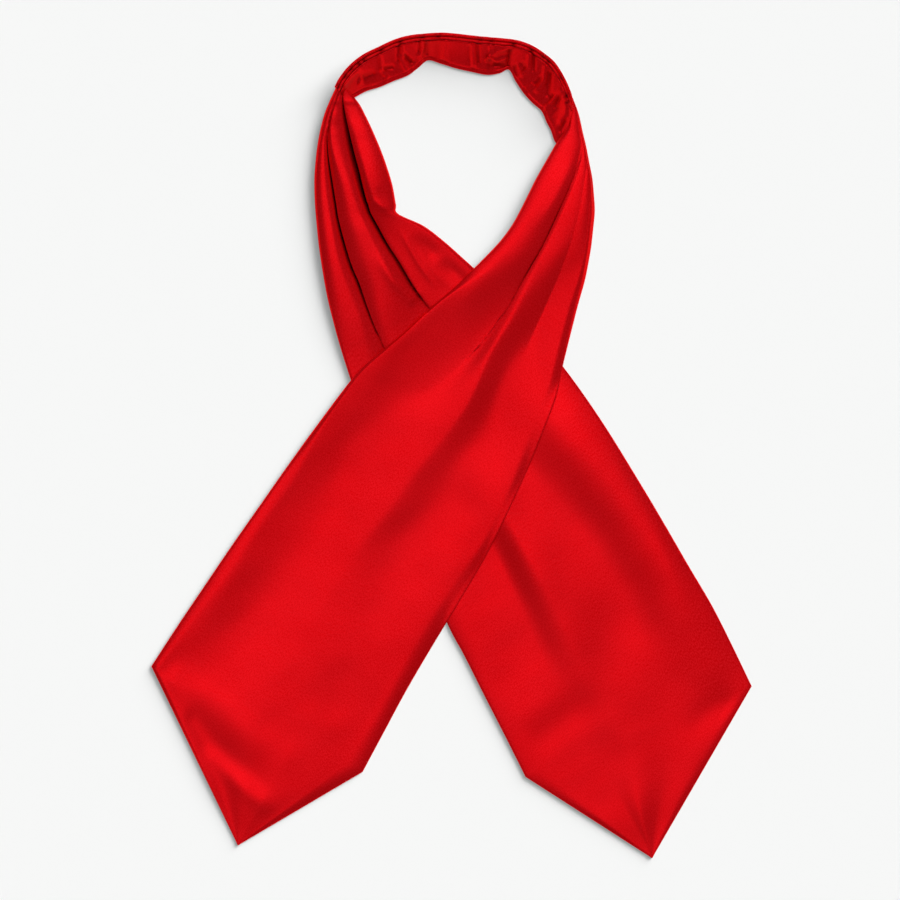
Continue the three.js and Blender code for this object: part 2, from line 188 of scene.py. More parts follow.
@dataclass(frozen=True)
class Line:
    """A ridge, trough or edge that runs down a blade.

    Each stop is a place in the picture, in pixels, and the cloth's height there in mm. A valley's
    stop may have a second height, of the rolled edge that covers the valley.
    """

    stops: tuple[tuple[float, ...], ...]

    def on_rows(self, left: np.ndarray, right: np.ndarray, upper: bool) -> tuple[np.ndarray, np.ndarray]:
        """Finds where the line crosses each row of the blade.

        Args:
            left: left end of each row in plan, mm.
            right: right end of each row in plan, mm.
            upper: whether the height is that of the upper cloth, where the line has two.

        Returns:
            The share of the row's width at the crossing, and the height there.
        """
        stops = np.array([(*stop[:3], stop[-1]) for stop in self.stops], float)
        stops[:, :2] = in_plan(stops[:, :2])
        dense = smooth_rows(stops, stops[:, :2], LINE_STEP)
        breadth = right - left
        width = np.linalg.norm(breadth, axis=1)
        across = breadth / width[:, None]
        down = np.stack([across[:, 1], -across[:, 0]], axis=1)
        offset = dense[None, :, :2] - left[:, None]
        ahead = np.einsum("rjd,rd->rj", offset, down)
        passed = ahead >= 0
        index = np.where(passed.any(axis=1), passed.argmax(axis=1), ahead.shape[1] - 1)
        index = np.clip(index, 1, ahead.shape[1] - 1)
        row = np.arange(len(left))
        before, after = ahead[row, index - 1], ahead[row, index]
        part = np.clip(-before / np.where(after == before, 1.0, after - before), 0.0, 1.0)
        place = dense[index - 1] + (dense[index] - dense[index - 1]) * part[:, None]
        share = np.einsum("rd,rd->r", place[:, :2] - left, across) / width
        outside = passed.all(axis=1) | ~passed.any(axis=1)
        share[outside] = np.interp(row[outside], row[~outside], share[~outside])
        return np.clip(share, 0.0, 1.0), place[:, 3 if upper else 2]


def openness(grid: np.ndarray) -> np.ndarray:
    """Works out how open each point of a sheet lies to the light from above, for shade painted into the
    satin's colour.

    Looks for the horizon both ways along the rows and the columns. Flat cloth and ridges give 1,
    and the depth of a narrow fold comes near 0.

    Args:
        grid: points in mm.

    Returns:
        A share for each point.
    """
    shares = []
    for axis in (0, 1):
        total = np.zeros(grid.shape[:2])
        last = grid.shape[axis] - 1
        for side in (-1, 1):
            steepest = np.zeros(grid.shape[:2])
            for step in HORIZON_STEPS:
                index = np.clip(np.arange(last + 1) + side * step, 0, last)
                offset = np.take(grid, index, axis=axis) - grid
                away = np.linalg.norm(offset[..., :2], axis=-1)
                reached = np.where(away < HORIZON_REACH, offset[..., 2], 0.0)
                steepest = np.maximum(steepest, reached / np.maximum(away, HORIZON_NEAREST))
            total += 0.5 / np.sqrt(1 + steepest**2)
        shares.append(total)
    return np.minimum(*shares)


def cloth_mesh(name: str, grid: np.ndarray, thickness: float, light: np.ndarray) -> bpy.types.Object:
    """Makes a sheet of cloth from a grid of points, with its UV map in metres of cloth.

    Args:
        name: the piece's name.
        grid: points in mm, rows along the cloth and columns across it, faces up.
        thickness: thickness of the cloth in mm, added below the given surface.
        light: how open each point lies to the light, for the shade painted into the satin's colour in the
            folds.

    Returns:
        The finished piece, a closed thin shell.
    """
    rows, columns = grid.shape[:2]
    mesh = bpy.data.meshes.new(name)
    corner = np.arange(rows * columns).reshape(rows, columns)
    quads = np.stack([corner[:-1, :-1], corner[1:, :-1], corner[1:, 1:], corner[:-1, 1:]], axis=-1)
    mesh.from_pydata((grid.reshape(-1, 3) * MM).tolist(), [], quads.reshape(-1, 4).tolist())
    across = np.cumsum(np.linalg.norm(np.diff(grid, axis=1, prepend=grid[:, :1]), axis=2), axis=1)
    across -= across[:, -1:] / 2
    along = np.cumsum(np.linalg.norm(np.diff(grid, axis=0, prepend=grid[:1]), axis=2).mean(axis=1))
    uv = np.stack([across, np.repeat(along[:, None], columns, axis=1)], axis=-1).reshape(-1, 2) * MM
    layer = mesh.uv_layers.new(name="cloth")
    loops = np.empty(len(mesh.loops), dtype=np.int32)
    mesh.loops.foreach_get("vertex_index", loops)
    layer.data.foreach_set("uv", uv[loops].astype(np.float32).ravel())
    # The openness, stored for the shade painted into the satin's colour.
    depth = mesh.attributes.new("openness", "FLOAT", "POINT")
    depth.data.foreach_set("value", light.astype(np.float32).ravel())
    mesh.update()
    piece = bpy.data.objects.new(name, mesh)
    bpy.context.collection.objects.link(piece)
    bpy.ops.object.select_all(action="DESELECT")
    bpy.context.view_layer.objects.active = piece
    piece.select_set(True)
    solid = piece.modifiers.new("cloth thickness", "SOLIDIFY")
    solid.thickness = thickness * MM
    solid.offset = -1.0
    solid.use_even_offset = False
    bpy.ops.object.modifier_apply(modifier=solid.name)
    bpy.ops.object.shade_smooth_by_angle(angle=SMOOTH_BELOW)
    piece.select_set(False)
    return piece


def hex_colour(value: str) -> tuple[float, float, float, float]:
    """Turns an sRGB hex colour into linear light.

    Args:
        value: six hex digits.

    Returns:
        Red, green, blue and alpha for a shader socket.
    """
    parts = [int(value[index : index + 2], 16) / 255 for index in (0, 2, 4)]
    linear = [part / 12.92 if part <= 0.04045 else ((part + 0.055) / 1.055) ** 2.4 for part in parts]
    return (*linear, 1.0)


def add_node(
    tree: bpy.types.NodeTree,
    kind: str,
    settings: dict[str, object],
    inputs: dict[str | int, object],
) -> bpy.types.Node:
    """Adds a node with its settings and its inputs.

    Args:
        tree: the material's node tree.
        kind: the node's type, without the words that all types begin with.
        settings: attributes to set on the node.
        inputs: input socket to a value, or to the output socket that feeds it.

    Returns:
        The new node.
    """
    node = tree.nodes.new("ShaderNode" + kind)
    for name, value in settings.items():
        setattr(node, name, value)
    for socket, value in inputs.items():
        if isinstance(value, bpy.types.NodeSocket):
            tree.links.new(value, node.inputs[socket])
        else:
            node.inputs[socket].default_value = value
    return node


@dataclass(frozen=True)
class SilkSatin:
    """Woven silk satin, dyed red: smooth floats give a broad, tinted gloss along the folds."""

    name: str = "silk_satin_red"
    light: str = "fb1a24"
    dark: str = "ea0006"
    painted_fold_shade: str = "4c0002"  # painted shade: colour in the depth of a narrow fold, where the cloth reflects only itself
    gloss: str = "ff6a6a"  # tint of the floats' reflection
    sheen: str = "ff3030"
    thread: float = 0.6  # drawn spacing of the floats, mm; real ones, 0.1 mm, are too fine to show
    patches: float = 22.0  # slight unevenness of the dye, patches per metre

    def material(self) -> bpy.types.Material:
        """Builds the material.

        Returns:
            The finished material, which reads the cloth's UV map, and its openness for the shade painted into
            the folds.
        """
        material = bpy.data.materials.new(self.name)
        material.use_nodes = True
        tree = material.node_tree
        tree.nodes.clear()
        uv = add_node(tree, "UVMap", {"uv_map": "cloth"}, {}).outputs["UV"]
        per_thread = 1.0 / (self.thread * MM)
        floats = add_node(tree, "Mapping", {}, {"Vector": uv, "Scale": (per_thread, per_thread / 2, 1)})
        on_cloth = {"noise_dimensions": "2D"}
        grain = {"Vector": floats.outputs[0], "Scale": 1.0, "Detail": 2.0, "Roughness": 0.6}
        weave = add_node(tree, "TexNoise", on_cloth, grain).outputs["Fac"]
        uneven = {"Vector": uv, "Scale": self.patches, "Detail": 3.0, "Roughness": 0.5}
        patches = add_node(tree, "TexNoise", on_cloth, uneven).outputs["Fac"]
        seen = add_node(tree, "MapRange", {}, {"Value": weave, "From Min": 0.4, "From Max": 0.6})
        shares = {"Factor": 0.25, 2: seen.outputs[0], 3: patches}
        shade = add_node(tree, "Mix", {"data_type": "FLOAT"}, shares)
        dyes = {"Factor": shade.outputs[0], 6: hex_colour(self.dark), 7: hex_colour(self.light)}
        dye = add_node(tree, "Mix", {"data_type": "RGBA"}, dyes)
        # Painted shade: where the openness is low, in deep and narrow folds, the dye is mixed toward a dark
        # red.
        light = add_node(tree, "Attribute", {"attribute_name": "openness"}, {}).outputs["Fac"]
        eased = {"interpolation_type": "SMOOTHSTEP"}
        depth = add_node(tree, "MapRange", eased, {"Value": light, "From Min": 0.42, "From Max": 0.84})
        painted_shade_colours = {"Factor": depth.outputs[0], 6: hex_colour(self.painted_fold_shade), 7: dye.outputs[2]}
        colour = add_node(tree, "Mix", {"data_type": "RGBA"}, painted_shade_colours)
        gloss = add_node(tree, "MapRange", {}, {"Value": weave, "To Min": 0.31, "To Max": 0.41})
        bump = add_node(tree, "Bump", {}, {"Strength": 0.16, "Distance": 0.0001, "Height": weave})
        surface = add_node(
            tree,
            "BsdfPrincipled",
            {},
            {
                "Base Color": colour.outputs[2],
                "Roughness": gloss.outputs[0],
                "Normal": bump.outputs[0],
                "Metallic": 0.88,
                "IOR": 1.54,
                "Specular Tint": hex_colour(self.gloss),
                "Sheen Weight": 0.05,
                "Sheen Roughness": 0.35,
                "Sheen Tint": hex_colour(self.sheen),
            },
        )
        add_node(tree, "OutputMaterial", {}, {"Surface": surface.outputs[0]})
        return material


def dress(piece: bpy.types.Object, material: bpy.types.Material, nodes: list[str]) -> None:
    """Gives a piece its finish and its body, and hides the CAD nodes that it stands for.

    Args:
        piece: the sheet of cloth.
        material: its finish.
        nodes: names of the CAD nodes.
    """
    piece.data.materials.clear()
    piece.data.materials.append(material)
    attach(piece, ROOT)
    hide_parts(*nodes)
    piece.visible_diffuse = False  # the photographed cloth throws no red glow on the table
    LOG.info("%s: %d faces", piece.name, len(piece.data.polygons))


@dataclass
class Rest:
    """How high the cloth below lifts the cloth that lies on it, on a square of small cells."""

    cell: float = 2.0  # mm
    size: float = 640.0  # side of the square, mm
    reach: int = 4  # cells that the cloth above bridges past an edge
    ease: int = 5  # cells that it takes to come down

    def settle(self, grid: np.ndarray) -> None:
        """Takes the shape of the cloth below.

        Args:
            grid: points of its surface, mm.
        """
        count = int(self.size / self.cell)
        self.lift = np.zeros((count, count))
        spots = grid.reshape(-1, 3)
        column, row = np.clip(((spots[:, :2] + self.size / 2) / self.cell).astype(int), 0, count - 1).T
        np.maximum.at(self.lift, (row, column), spots[:, 2])
        for _ in range(self.reach):
            wide = np.pad(self.lift, 1)
            beside = [wide[:-2, 1:-1], wide[2:, 1:-1], wide[1:-1, :-2], wide[1:-1, 2:]]
            self.lift = np.max([self.lift, *beside], axis=0)
        window = mean_window(self.ease)
        for axis in (0, 1, 0, 1):
            self.lift = np.apply_along_axis(np.convolve, axis, self.lift, window, "same")

    def height(self, points: np.ndarray) -> np.ndarray:
        """Gives the lift at points in plan, in mm.

        Args:
            points: plan points in mm.

        Returns:
            The height of the cloth below, bridged and eased.
        """
        place = np.clip((points + self.size / 2) / self.cell - 0.5, 0, len(self.lift) - 2)
        low = place.astype(int)
        x, y = np.moveaxis(low, -1, 0)
        u, v = np.moveaxis(place - low, -1, 0)
        near = self.lift[y, x] * (1 - u) + self.lift[y, x + 1] * u
        far = self.lift[y + 1, x] * (1 - u) + self.lift[y + 1, x + 1] * u
        return near * (1 - v) + far * v


@dataclass(frozen=True)
class Rows:
    """The dense rows across a blade, one entry for each row from the band to the tip."""

    left: np.ndarray  # plan, mm
    right: np.ndarray
    overlaps: np.ndarray  # how far each later strip laps over the one before it, mm
    sharpness: np.ndarray  # from 0, soft waves, to 1, pleats that fall off steeply beside the ridge

    @property
    def width(self) -> np.ndarray:
        """Gives the rows' widths in mm."""
        return np.linalg.norm(self.right - self.left, axis=1)


@dataclass
class Blade:
    """One side of the cravat in one length: its pleats beside the neck and its pointed blade.

    Each strip is the lines across the cloth between two valleys, from left to right. Its last line
    is the valley that the next strip's rolled edge covers.
    """

    name: str
    left: np.ndarray  # ends of the given rows in plan, mm
    right: np.ndarray
    strips: list[list[Line]]
    overlaps: list[np.ndarray]  # one for each valley; as the sharpness, with a value for each row
    sharpness: np.ndarray
    folds: tuple[Fold, ...]
    tip: tuple[float, float]
    face_nodes: list[str]
    back_nodes: list[str]
    length: float  # of the flat cut, m
    face_area: float  # m2
    back_area: float
    crown_reach: float  # length over which the start's rounding goes over into the pleats
    rest: Rest | None = None
    cut_width: float = 0.160
    cloth: float = 0.45  # thickness, mm
    crown: float = 16.0  # height of the rounded start of the blade, at the band
    crown_bend: float = 0.6  # exponent of its rounding, under 1 for a flatter top
    fold_zone: float = 7.0  # half the width of cloth that a pleat takes up, mm
    fold_share: float = 0.19  # and at most this share of the row
    close_rows: int = 13  # given rows beside the neck, where the steps are short
    close_spacing: float = 1.15
    spacing: float = 2.3
    columns: int = 140  # columns, steps and rows keep a face below 200,000 triangles
    back_columns: int = 40
    edge_steps: int = 8  # round each turned edge
    edge_turn: float = math.radians(165)
    inset_share: float = 0.2  # most of a row's width that a turned edge takes up
    tip_half: float = 0.5  # half the width of the tip, mm
    trim: float = 0.25  # how far the cloth's edge lies inside the outline, mm
    trim_share: float = 0.1  # but at most this share of the row
    line_gap: float = 0.45  # least distance between two lines on a row, mm
    gap_share: float = 0.04  # but at most this share of the row
    edge_sharpness: float = 0.8  # least sharpness beside the blade's own edges
    soft_bend: float = 0.8  # exponents of the cloth's curve down from a ridge: of a soft wave,
    left_bend: float = 2.6  # of a sharp pleat to the left of its ridge,
    right_bend: float = 2.7  # and to the right
    edge_margin: float = 14.0  # width over which folds and ripples die out at the edges
    full_width: float = 70.0  # width of the point where its ridges begin to flatten
    tip_share: float = 0.08  # share of the ridges' height that is left at the tip
    clearance: float = 1.4  # least height of the face above what lies below it
    ease: float = 0.4  # height over which the clearance is eased in
    back_gap: float = 0.55  # height of the back above what lies below it
    back_inset: float = 0.9
    ripple_seed: int = 4
    ripple_sizes: tuple[tuple[float, float], ...] = (  # wavelength and height
        (74.0, 0.15), (47.0, 0.09), (29.0, 0.035), (17.0, 0.012),
    )  # fmt: skip

    def floor(self, points: np.ndarray) -> np.ndarray:
        """Gives the height of what the blade lies on, in mm."""
        return self.rest.height(points) if self.rest else np.zeros(points.shape[:-1])

    def rows(self) -> Rows:
        """Lays out the dense rows, those of the point included.

        Returns:
            The rows, with their ends drawn in by the trim.
        """
        table = np.hstack([self.left, self.right, np.stack([*self.overlaps, self.sharpness], axis=1)])
        close = np.arange(len(table) - 1) < self.close_rows
        spacing = np.where(close, self.close_spacing, self.spacing)
        dense = smooth_rows(table, (self.left + self.right) / 2, spacing)
        shoulders = dense[-1]
        tip = np.array(self.tip)
        breadth = shoulders[2:4] - shoulders[:2]
        side = self.tip_half * breadth / np.linalg.norm(breadth)
        reach = np.linalg.norm(tip - (shoulders[:2] + shoulders[2:4]) / 2)
        count = round(reach / self.spacing)
        point = np.repeat(shoulders[None], count, axis=0)
        share = (np.arange(1, count + 1) / count)[:, None]
        point[:, :2] = shoulders[:2] + (tip - side - shoulders[:2]) * share
        point[:, 2:4] = shoulders[2:4] + (tip + side - shoulders[2:4]) * share
        dense = np.vstack([dense, point])
        breadth = dense[:, 2:4] - dense[:, :2]
        width = np.linalg.norm(breadth, axis=1, keepdims=True)
        trim = breadth / width * np.minimum(self.trim, self.trim_share * width)
        overlaps = np.maximum(dense[:, 4:-1], 0)
        return Rows(dense[:, :2] + trim, dense[:, 2:4] - trim, overlaps, np.clip(dense[:, -1], 0, 1))

    def ripples(self, points: np.ndarray) -> np.ndarray:
        """Gives the slight unevenness of cloth that has been handled.

        Args:
            points: plan points in mm.

        Returns:
            A height in mm, well under half a millimetre.
        """
        waves, together = 3, 1.7  # waves of each length, and how high they add up to
        source = np.random.default_rng(self.ripple_seed)
        total = np.zeros(points.shape[:-1])
        for wavelength, size in self.ripple_sizes:
            for turn in range(waves):
                angle, phase = source.uniform(0, math.pi), source.uniform(0, 2 * math.pi)
                heading = np.array([math.cos(angle), math.sin(angle)]) * (2 * math.pi / wavelength)
                total += size / together * np.sin(points @ heading + phase + turn)
        return total

    def line_places(self, rows: Rows) -> list[list[tuple[np.ndarray, np.ndarray]]]:
        """Finds where each strip's lines cross the rows, in order from left to right.

        Args:
            rows: the dense rows.

        Returns:
            For each line of each strip, the shares of the rows' widths and the heights.
        """
        gap = np.minimum(self.line_gap / rows.width, self.gap_share)
        previous = np.zeros(len(gap))
        strips = []
        for lines in self.strips:
            strips.append([])
            for index, line in enumerate(lines):
                share, height = line.on_rows(rows.left, rows.right, index == 0)
                previous = np.maximum(even_out(share, LINE_EASE), previous + gap)
                strips[-1].append((previous, even_out(height, LINE_EASE)))
        scale = 1.0 / np.maximum(previous, 1.0)
        strips = [[(share * scale, height) for share, height in places] for places in strips]
        strips[0][0] = (np.zeros_like(gap), strips[0][0][1])
        strips[-1][-1] = (np.ones_like(gap), strips[-1][-1][1])
        return strips

    def lap(
        self,
        rows: Rows,
        along: np.ndarray,
        valleys: list[np.ndarray],
    ) -> tuple[np.ndarray, list[np.ndarray]]:
        """Swings the cloth at each valley back over itself, so that a pleat laps over the valley.

        Args:
            rows: the dense rows.
            along: the columns' shares of the cloth's width.
            valleys: each valley's share of the rows' widths.

        Returns:
            Each point's share of the row's width, and for each valley how far each point belongs to
            the strip past it.
        """
        # The shift is this swing times sin(pi x) (1 - x^2), which comes to the peak at this x.
        swing, peak, peak_at = 1.14, 0.91, 0.4
        blend = 0.55  # half the stretch of x over which one strip's height gives way to the next's
        place = along.copy()
        weights = []
        for overlap, valley in zip(rows.overlaps.T, valleys):
            zone = np.minimum(self.fold_zone / rows.width, self.fold_share)
            reach = (np.minimum(overlap / rows.width, peak_at * zone) + peak_at * zone) / peak
            reach *= smooth(overlap)
            middle = valley + np.maximum(peak * reach - peak_at * zone, 0)
            inside = (along - middle[:, None]) / zone[:, None]
            window = np.clip(1 - inside**2, 0, None)
            place -= swing * reach[:, None] * np.sin(math.pi * inside) * window * (np.abs(inside) < 1)
            weights.append(smooth((inside + blend) / (2 * blend)))
        return place, weights

    def strip_top(
        self,
        places: list[tuple[np.ndarray, np.ndarray]],
        place: np.ndarray,
        sharpness: np.ndarray,
        first: bool,
        last: bool,
    ) -> np.ndarray:
        """Gives a strip's height at each place, through its lines.

        Args:
            places: share and height of each line, for each row.
            place: share of the row's width, for each point.
            sharpness: the rows' sharpness, as a column.
            first: whether the strip starts at the blade's own edge, which falls off steeply.
            last: whether it ends at the other edge.

        Returns:
            The heights in mm.
        """
        top = np.broadcast_to(places[0][1][:, None], place.shape).copy()
        for index, ((start, low), (end, high)) in enumerate(zip(places[:-1], places[1:])):
            span = np.maximum(end - start, 1e-4)[:, None]
            t = np.clip((place - start[:, None]) / span, 0, 1)
            rising = (high > low)[:, None]
            from_ridge = np.where(rising, 1 - t, t)
            soft = 1 - smooth(from_ridge ** np.where(rising, 1.0, self.soft_bend))
            steep = 1 - from_ridge ** np.where(rising, self.left_bend, self.right_bend)
            beside = (index == 0 and first) or (index == len(places) - 2 and last)
            steepness = np.maximum(sharpness, self.edge_sharpness) if beside else sharpness
            level = soft * (1 - steepness) + steep * steepness
            bottom, crest = np.minimum(low, high)[:, None], np.maximum(low, high)[:, None]
            top = np.where(place > start[:, None], bottom + (crest - bottom) * level, top)
        return top

    def face_grid(self, rows: Rows) -> np.ndarray:
        """Works out the face: the top of the cloth and its edges, rolled down and under.

        Args:
            rows: the dense rows.

        Returns:
            The grid of points in mm.
        """
        strips = self.line_places(rows)
        width = rows.width[:, None]
        along = np.linspace(0.0, 1.0, self.columns)[None] * np.ones_like(width)
        place, weights = self.lap(rows, along, [places[-1][0] for places in strips[:-1]])
        count = len(strips) - 1
        layers = [
            self.strip_top(places, place, rows.sharpness[:, None], index == 0, index == count)
            for index, places in enumerate(strips)
        ]
        top = layers[0]
        for layer, weight in zip(layers[1:], weights):
            top = top * (1 - weight) + layer * weight
        middle = (rows.left + rows.right) / 2
        walked = np.cumsum(np.linalg.norm(np.diff(middle, axis=0, prepend=middle[:1]), axis=1))
        begun = smooth(walked / self.crown_reach)[:, None]
        edge = np.minimum(top[:, :1], top[:, -1:])
        crown = edge + (self.crown - edge) * np.sin(math.pi * np.clip(place, 0, 1)) ** self.crown_bend
        top = crown * (1 - begun) + top * begun
        plan = rows.left[:, None] + (rows.right - rows.left)[:, None] * place[..., None]
        inside = smooth(np.minimum(along, 1 - along) * width / self.edge_margin)
        left_over = self.tip_share + (1 - self.tip_share) * smooth(width / self.full_width)
        edge = np.minimum(top[:, :1], top[:, -1:])
        top = edge + (top - edge) * left_over + (rise_of(self.folds, plan) + self.ripples(plan)) * inside
        clear = self.floor(plan) + self.clearance
        top = clear + self.ease * np.logaddexp(0, (top - clear) / self.ease)
        return self.roll_edges(plan, top, rows)

    def roll_edges(self, plan: np.ndarray, top: np.ndarray, rows: Rows) -> np.ndarray:
        """Turns both edges of the face down and under in a half round.

        Args:
            plan: plan points of the top.
            top: heights of the top.
            rows: the dense rows.

        Returns:
            The whole grid, edges included.
        """
        gap = 0.5  # height of the turned edge's end above what lies below it, mm
        least_drop, least_inset, most_inset = 0.6, 0.6, 1.9  # of the half round, mm
        drop_share = 0.16  # how much of the drop the inset grows by
        turned = np.linspace(0, 1, self.edge_steps + 1)[None, 1:]
        width = rows.width[:, None]
        left = rows.left[:, None]
        across = (rows.right[:, None] - left) / width[..., None]
        sides = []
        insets = []
        for column, side, edge in ((0, -1, rows.left), (-1, 1, rows.right)):
            low = self.floor(edge) + gap
            drop = np.maximum(top[:, column] - low, least_drop)
            inset = np.minimum(least_inset + drop_share * drop, most_inset)
            inset = np.minimum(inset, self.inset_share * rows.width)
            inner = column - 3 * side
            run = np.linalg.norm(plan[:, inner] - plan[:, column], axis=-1)
            slope = np.clip((top[:, inner] - top[:, column]) / np.maximum(run, 0.1), 0.0, 2.0)
            begin = even_out(np.arctan(slope), 2)
            drop = 2 * drop / (1 + np.cos(begin))
            inset = inset * (1 - 0.5 * np.sin(begin))
            insets.append(inset)
            turn = begin[:, None] + (self.edge_turn - begin[:, None]) * turned
            first = np.sin(begin)[:, None]
            out = (np.sin(turn) - first) / (1 - first + 1e-6) * inset[:, None]
            points = edge[:, None] + side * across * (out - inset[:, None])[..., None]
            sides.append(raised(points, (low + drop / 2)[:, None] + np.cos(turn) * drop[:, None] / 2))
        span = np.einsum("rcd,rcd->rc", plan - left, np.broadcast_to(across, plan.shape))
        squeezed = insets[0][:, None] + span * (1 - (insets[0] + insets[1])[:, None] / width)
        face = raised(left + across * squeezed[..., None], top)
        return np.concatenate([sides[0][:, ::-1], face, sides[1]], axis=1)

    def back_grid(self, rows: Rows) -> np.ndarray:
        """Works out the back: the same cut, flat under the face and inside its turned edge.

        Args:
            rows: the dense rows.

        Returns:
            The grid of points in mm.
        """
        share = np.linspace(0.0, 1.0, self.back_columns)[None, :, None]
        width = rows.width[:, None, None]
        inset = np.minimum(self.back_inset / width, self.inset_share)
        left, right = rows.left[:, None], rows.right[:, None]
        plan = left + (right - left) * (inset + share * (1 - 2 * inset))
        return raised(plan, self.floor(plan) + self.back_gap)

    def build(self, material: bpy.types.Material) -> np.ndarray:
        """Makes the face and the back.

        Args:
            material: the cloth's finish.

        Returns:
            The face's grid of points in mm.
        """
        rows = self.rows()
        grid = self.face_grid(rows)
        # Painted shade: the openness of the folds darkens the face's colour, except on the turned edges.
        light = openness(grid)
        light[:, : self.edge_steps] = light[:, -self.edge_steps :] = 1.0
        face = cloth_mesh(f"{self.name}_face_cloth", grid, self.cloth, light)
        dress(face, material, self.face_nodes)
        flat_back = self.back_grid(rows)
        back = cloth_mesh(f"{self.name}_back_cloth", flat_back, self.cloth, np.ones(flat_back.shape[:2]))
        dress(back, material, self.back_nodes)
        return grid


# Right side and over blade: a row for each section from the band to the shoulders of the point.
OVER_LEFT = outline(
    (77.0, 226.6), (76.1, 217.4), (73.8, 206.4), (67.9, 197.3), (60.8, 184.9), (54.9, 174.5), (49.7, 164.1),
    (44.5, 153.7), (38.7, 143.3), (30.9, 132.9), (21.1, 122.5), (14.6, 116.0), (6.8, 108.2), (-1.6, 100.4),
    (-10.1, 93.3), (-20.5, 84.2), (-30.9, 74.4), (-43.2, 64.0), (-55.6, 53.6), (-66.0, 42.6), (-88.1, 13.3),
    (-106.9, -12.7), (-125.1, -38.7), (-143.3, -64.7), (-160.9, -90.7), (-178.4, -116.7), (-195.3, -142.7),
)  # fmt: skip
OVER_RIGHT = outline(
    (79.0, 226.0), (82.7, 216.1), (85.5, 203.8), (87.8, 194.2), (89.7, 184.3), (91.7, 173.9), (92.7, 163.5),
    (93.3, 153.1), (92.3, 141.4), (90.9, 129.0), (89.1, 118.6), (87.0, 108.2), (84.5, 99.1), (81.6, 88.7),
    (79.0, 78.3), (76.4, 67.9), (72.8, 53.3), (67.9, 31.5), (59.5, 9.4), (49.1, -15.9), (34.1, -48.4),
    (21.1, -73.8), (5.9, -99.8), (-11.4, -128.4), (-28.9, -158.3), (-43.2, -184.9), (-57.5, -211.6),
)  # fmt: skip

# Left side and under blade: the same.
UNDER_LEFT = outline(
    (-73.4, 237.2), (-79.6, 223.9), (-82.9, 215.5), (-85.5, 205.7), (-87.4, 195.3), (-88.7, 184.3),
    (-89.4, 172.6), (-89.1, 158.9), (-88.1, 145.9), (-86.5, 130.3), (-84.2, 114.7), (-80.9, 96.5),
    (-76.4, 78.3), (-71.2, 60.1), (-61.4, 30.2), (-51.7, 4.2), (-38.7, -29.6), (-21.8, -71.2), (-2.9, -115.4),
    (8.1, -136.2), (20.5, -160.9), (32.8, -184.9), (40.4, -200.0), (47.8, -214.8),
)  # fmt: skip
UNDER_RIGHT = outline(
    (-68.6, 233.0), (-60.2, 223.2), (-55.3, 214.2), (-50.4, 203.8), (-45.2, 191.4), (-41.3, 180.4),
    (-38.0, 169.3), (-35.8, 157.0), (-34.4, 151.1), (-17.9, 143.3), (-4.2, 132.9), (7.5, 122.5),
    (14.6, 116.0), (21.8, 108.2), (29.6, 100.4), (51.0, 76.4), (72.5, 52.3), (97.8, 16.6), (123.2, -24.4),
    (139.4, -51.7), (154.4, -77.7), (169.3, -103.0), (182.0, -128.0), (195.3, -155.7),
)  # fmt: skip

# Neckband: a row for each section from the left end to the right, rim and foot.
BAND_RIM = outline(
    (-75.5, 232.6), (-72.2, 238.7), (-66.0, 246.4), (-57.5, 253.2), (-47.1, 258.4), (-36.1, 263.4),
    (-26.3, 265.9), (-17.2, 266.9), (-6.8, 267.5), (3.6, 266.8), (14.0, 265.6), (24.4, 264.6), (33.5, 263.8),
    (42.6, 262.6), (51.7, 259.4), (59.5, 254.5), (66.0, 249.1), (70.5, 242.8), (74.2, 235.9), (76.2, 231.2),
    (77.6, 227.2), (78.6, 221.5),
)  # fmt: skip
BAND_FOOT = outline(
    (-67.5, 224.5), (-61.7, 227.9), (-54.9, 231.4), (-46.5, 234.0), (-37.4, 237.9), (-28.3, 241.5),
    (-21.8, 246.4), (-15.3, 251.2), (-6.8, 249.0), (2.9, 246.0), (12.7, 243.8), (23.1, 241.8), (30.9, 242.8),
    (37.4, 245.1), (41.9, 237.6), (47.1, 229.8), (53.0, 223.3), (58.8, 218.1), (62.1, 210.9), (65.0, 205.2),
    (67.9, 197.6), (73.5, 194.0),
)  # fmt: skip


